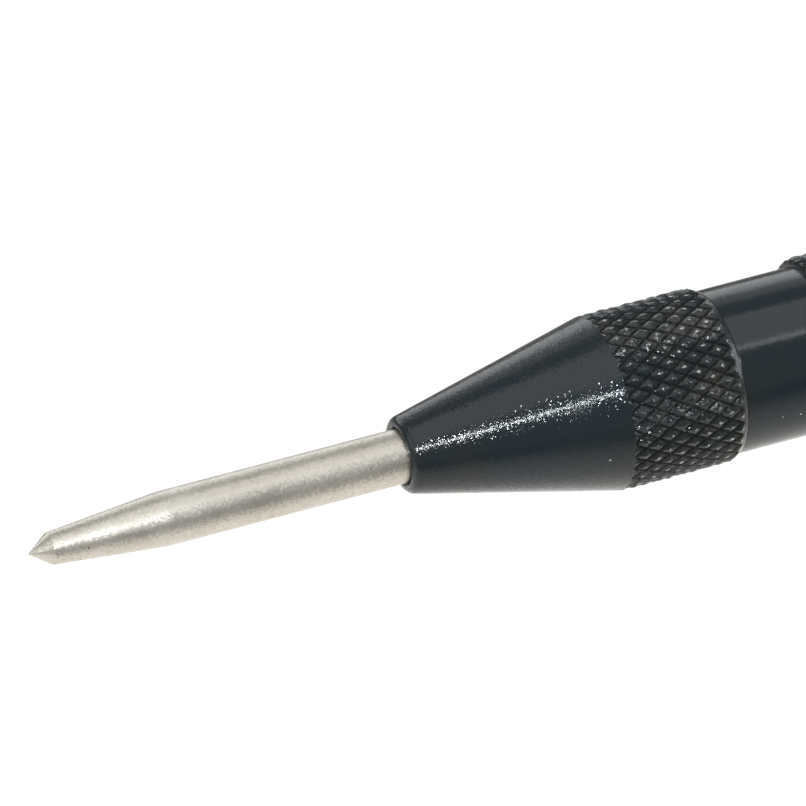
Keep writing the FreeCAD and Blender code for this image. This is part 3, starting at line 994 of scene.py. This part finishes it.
@dataclass
class CoilSpring:
    """Round wire wound in closed coils at its ends and open ones between.

    It has `turns` open turns. Its keep, the share of its length that is left at the
    joint's limit, is not used here, and its radius is the outer one.
    """

    node: str
    name: str
    body: str
    joint: str
    keep: float
    wire: float
    radius: float
    turns: float
    closed: float
    rows_per_turn: int = 40
    wire_columns: int = 14

    def build(self, finish: bpy.types.Material) -> bpy.types.Object:
        """Wind the spring.

        The wire's middle runs at angle = turn * n, where n counts the turns. Its place along
        the axis rises by one closed pitch over the first and last turn and evenly between
        them. A circle stands square to it all along.

        Args:
            finish: the material.

        Returns:
            The piece.
        """
        low, high = (corner.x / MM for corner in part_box(self.node))
        wound = self.turns + 2
        count = int(wound * self.rows_per_turn)
        turned = np.linspace(0, wound, count)
        ends = [0, 1, wound - 1, wound]
        first, last = low + self.wire / 2, high - self.wire / 2
        places = [first, first + self.closed, last - self.closed, last]
        middle = np.interp(turned, ends, places)
        angle = TURN * turned
        line = on_axis(middle, angle, self.radius - self.wire / 2)
        forward = np.gradient(line, axis=0)
        forward /= np.linalg.norm(forward, axis=1, keepdims=True)
        outward = np.stack([np.zeros(count), -np.sin(angle), np.cos(angle)], -1)
        outward -= (outward * forward).sum(1, keepdims=True) * forward
        outward /= np.linalg.norm(outward, axis=1, keepdims=True)
        side = np.cross(forward, outward)
        around = (TURN * np.arange(self.wire_columns) / self.wire_columns)[None, :, None]
        circle = np.cos(around) * outward[:, None] + np.sin(around) * side[:, None]
        piece = skin(self.name, line[:, None] + self.wire / 2 * circle, False)
        settle(piece, self.node, self.body, finish)
        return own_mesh(piece)


@dataclass
class TurnedInsides:
    """Small turned pieces inside the barrel, which keep their CAD shapes."""

    nodes: tuple[str, ...] = ("trigger_pin", "hammer", "spring_seat")

    def dress(self, finish: bpy.types.Material) -> None:
        """Give each of them the turned steel finish.

        Args:
            finish: the material.
        """
        for node in self.nodes:
            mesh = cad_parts[node].data
            mesh.materials.clear()
            mesh.materials.append(finish)
            log.info("%s: dressed", node)


# ---------------------------------------------------------------------------
# Studio
# ---------------------------------------------------------------------------

class Lamp(Enum):
    """Lights of the studio.

    Each is its angle round the tool's axis, place along it, distance from it, the place
    along it that it faces, size, power and colour.
    """

    STRIP = (45.5, -0.040, 0.50, -0.040, (0.08, 0.008), 0.31, (0.90, 0.96, 1.0))
    GLINT = (46.0, -0.150, 0.50, 0.030, (0.12, 0.016), 1.30, (0.93, 0.97, 1.0))
    EDGE = (62.0, 0.220, 0.50, 0.220, (0.22, 0.05), 0.078, (1.0, 0.99, 0.97))
    SOFT_TOP = (86.0, 0.05, 0.60, 0.05, (0.80, 0.56), 1.30, (1.0, 0.985, 0.96))
    SOFT_BACK = (171.0, 0.10, 0.50, 0.10, (0.90, 0.30), 0.85, (0.97, 0.99, 1.0))
    BACK_FILL = (158.0, 0.10, 0.50, 0.10, (0.90, 0.42), 0.50, (0.97, 0.99, 1.0))
    SOFT_REAR = (60.0, 0.80, 0.30, 0.06, (0.50, 0.50), 2.20, (0.95, 1.0, 1.0))
    SOFT_END = (78.0, -0.40, 0.25, 0.01, (0.50, 0.30), 0.44, (1.0, 0.99, 0.97))


@dataclass
class Studio:
    """Pale floor, soft light and the camera. Angles are in degrees, lengths in metres."""

    azimuth: float = -23.9
    elevation: float = 36.5
    distance: float = 2.59
    lens: float = 1500.0
    sight: float = 20.0
    aim_along: float = 0.0326
    aim_above: float = 0.0039
    surroundings: float = 0.34
    sheet_reach: float = 1.5
    floor_glow: float = 1.0
    floor_dark: Colour = (0.05, 0.05, 0.05)
    floor_light: Colour = (0.06, 0.06, 0.06)
    card_drop: float = 0.0005
    card_glow: float = 1.2
    card_reach: float = 0.024
    card_far: Colour = (0.16, 0.155, 0.15)
    card_near: Colour = (1.0, 0.97, 0.93)

    def place_camera(self) -> None:
        """Set the camera on its bearing, looking at a point beside the tool's axis."""
        turn, lift = math.radians(self.azimuth), math.radians(self.elevation)
        right = Vector((math.cos(turn), math.sin(turn), 0))
        back = Vector((math.sin(turn) * math.cos(lift), -math.cos(turn) * math.cos(lift),
                       math.sin(lift)))
        up = back.cross(right)
        slope = Vector((right.x, up.x)).normalized()
        aim = Vector((self.aim_along, 0, 0)) + self.aim_above * (slope.x * up - slope.y * right)
        data = bpy.data.cameras.new("camera")
        data.lens = self.lens
        data.clip_end = self.sight
        camera = bpy.data.objects.new("camera", data)
        camera.location = aim + self.distance * back
        camera.rotation_euler = (aim - camera.location).to_track_quat("-Z", "Y").to_euler()
        bpy.context.scene.collection.objects.link(camera)
        bpy.context.scene.camera = camera

    def lay(self, name: str, drop: float, finish: bpy.types.Material) -> bpy.types.Object:
        """Lay a wide flat sheet under the lowest point of the tool.

        Args:
            name: its name.
            drop: how far under that point.
            finish: its material.

        Returns:
            The sheet.
        """
        height = cad_bounds[0][2] - drop
        sides = (-self.sheet_reach, self.sheet_reach)
        x, y = np.meshgrid(sides, sides, indexing="ij")
        corners = np.stack([x, y, np.full_like(x, height)], -1).reshape(-1, 3)
        mesh = bpy.data.meshes.new(name)
        mesh.from_pydata(corners.tolist(), [], [(0, 2, 3, 1)])
        mesh.materials.append(finish)
        sheet = bpy.data.objects.new(name, mesh)
        bpy.context.scene.collection.objects.link(sheet)
        return sheet

    def lay_floor(self) -> None:
        """Lay the pale floor, and a card that only gloss sees, bright near the tool's line.

        The card's brightness falls off as exp(-(distance across / its reach) ** 2).
        """
        s = Shader("pale_floor")
        floor = self.lay("floor", 0.0, s.finish(
            {"Roughness": 0.9, "Emission Color": (1, 1, 1, 1),
             "Emission Strength": self.floor_glow, "Specular IOR Level": 0.1},
            base_color=s.mix(s.noise(20.0), self.floor_dark, self.floor_light)))
        floor.visible_glossy = False
        s = Shader("reflector_card")
        _, across, _ = s.split(s.place)
        near = (across.math("ABSOLUTE") / self.card_reach) ** 2.0
        glow = near.math("MULTIPLY", -1.0).math("EXPONENT")
        card = self.lay("card", self.card_drop, s.finish(
            {"Roughness": 1.0, "Emission Strength": self.card_glow, "Specular IOR Level": 0.0},
            base_color=s.mix(glow, (0.02, 0.02, 0.02), self.floor_dark),
            emission_color=s.mix(glow, self.card_far, self.card_near)))
        card.visible_camera = False
        card.visible_diffuse = False

    def hang_lights(self) -> None:
        """Hang each lamp round the tool's axis and light the surroundings evenly."""
        for lamp in Lamp:
            angle, along, distance, facing, size, power, colour = lamp.value
            data = bpy.data.lights.new(lamp.name.lower(), "AREA")
            data.shape = "RECTANGLE"
            data.size, data.size_y = size
            data.energy = power
            data.color = colour
            light = bpy.data.objects.new(data.name, data)
            tilt = math.radians(angle)
            light.location = (along, -distance * math.cos(tilt), distance * math.sin(tilt))
            aim = Vector((facing, 0, 0)) - light.location
            light.rotation_euler = aim.to_track_quat("-Z", "Y").to_euler()
            bpy.context.scene.collection.objects.link(light)
        world = bpy.data.worlds.new("surroundings")
        world.use_nodes = True
        background = world.node_tree.nodes["Background"]
        background.inputs["Color"].default_value = (1.0, 0.99, 0.98, 1)
        background.inputs["Strength"].default_value = self.surroundings
        bpy.context.scene.world = world
        bpy.context.scene.view_settings.view_transform = "Standard"


def main() -> None:
    """Build the studio, then each sub-assembly in order from the tip to the cap."""
    logging.basicConfig(level=logging.INFO, format="%(name)s %(message)s")
    studio = Studio()
    studio.place_camera()
    studio.lay_floor()
    studio.hang_lights()
    ground = GroundSteel().material()
    nose = BlackOxide("black_oxide_nose").material()
    rear = BlackOxide("black_oxide_barrel", grain_tilt=0.10).material()
    turned = TurnedSteel().material()
    wire = SpringWire().material()
    PunchPoint().build(ground)
    NoseCone().build(nose)
    Barrel().build(rear)
    AdjustingCap().build(rear)
    CoilSpring("return_spring", "return_coil", "housing", "point_slide", keep=0.50,
               wire=0.6, radius=3.453, turns=5.0, closed=0.72).build(wire)
    CoilSpring("main_spring", "main_coil", "seat", "hammer_slide", keep=0.76,
               wire=1.3, radius=4.5, turns=9.0, closed=1.42).build(wire)
    TurnedInsides().dress(turned)


if __name__ == "__main__":
    main()
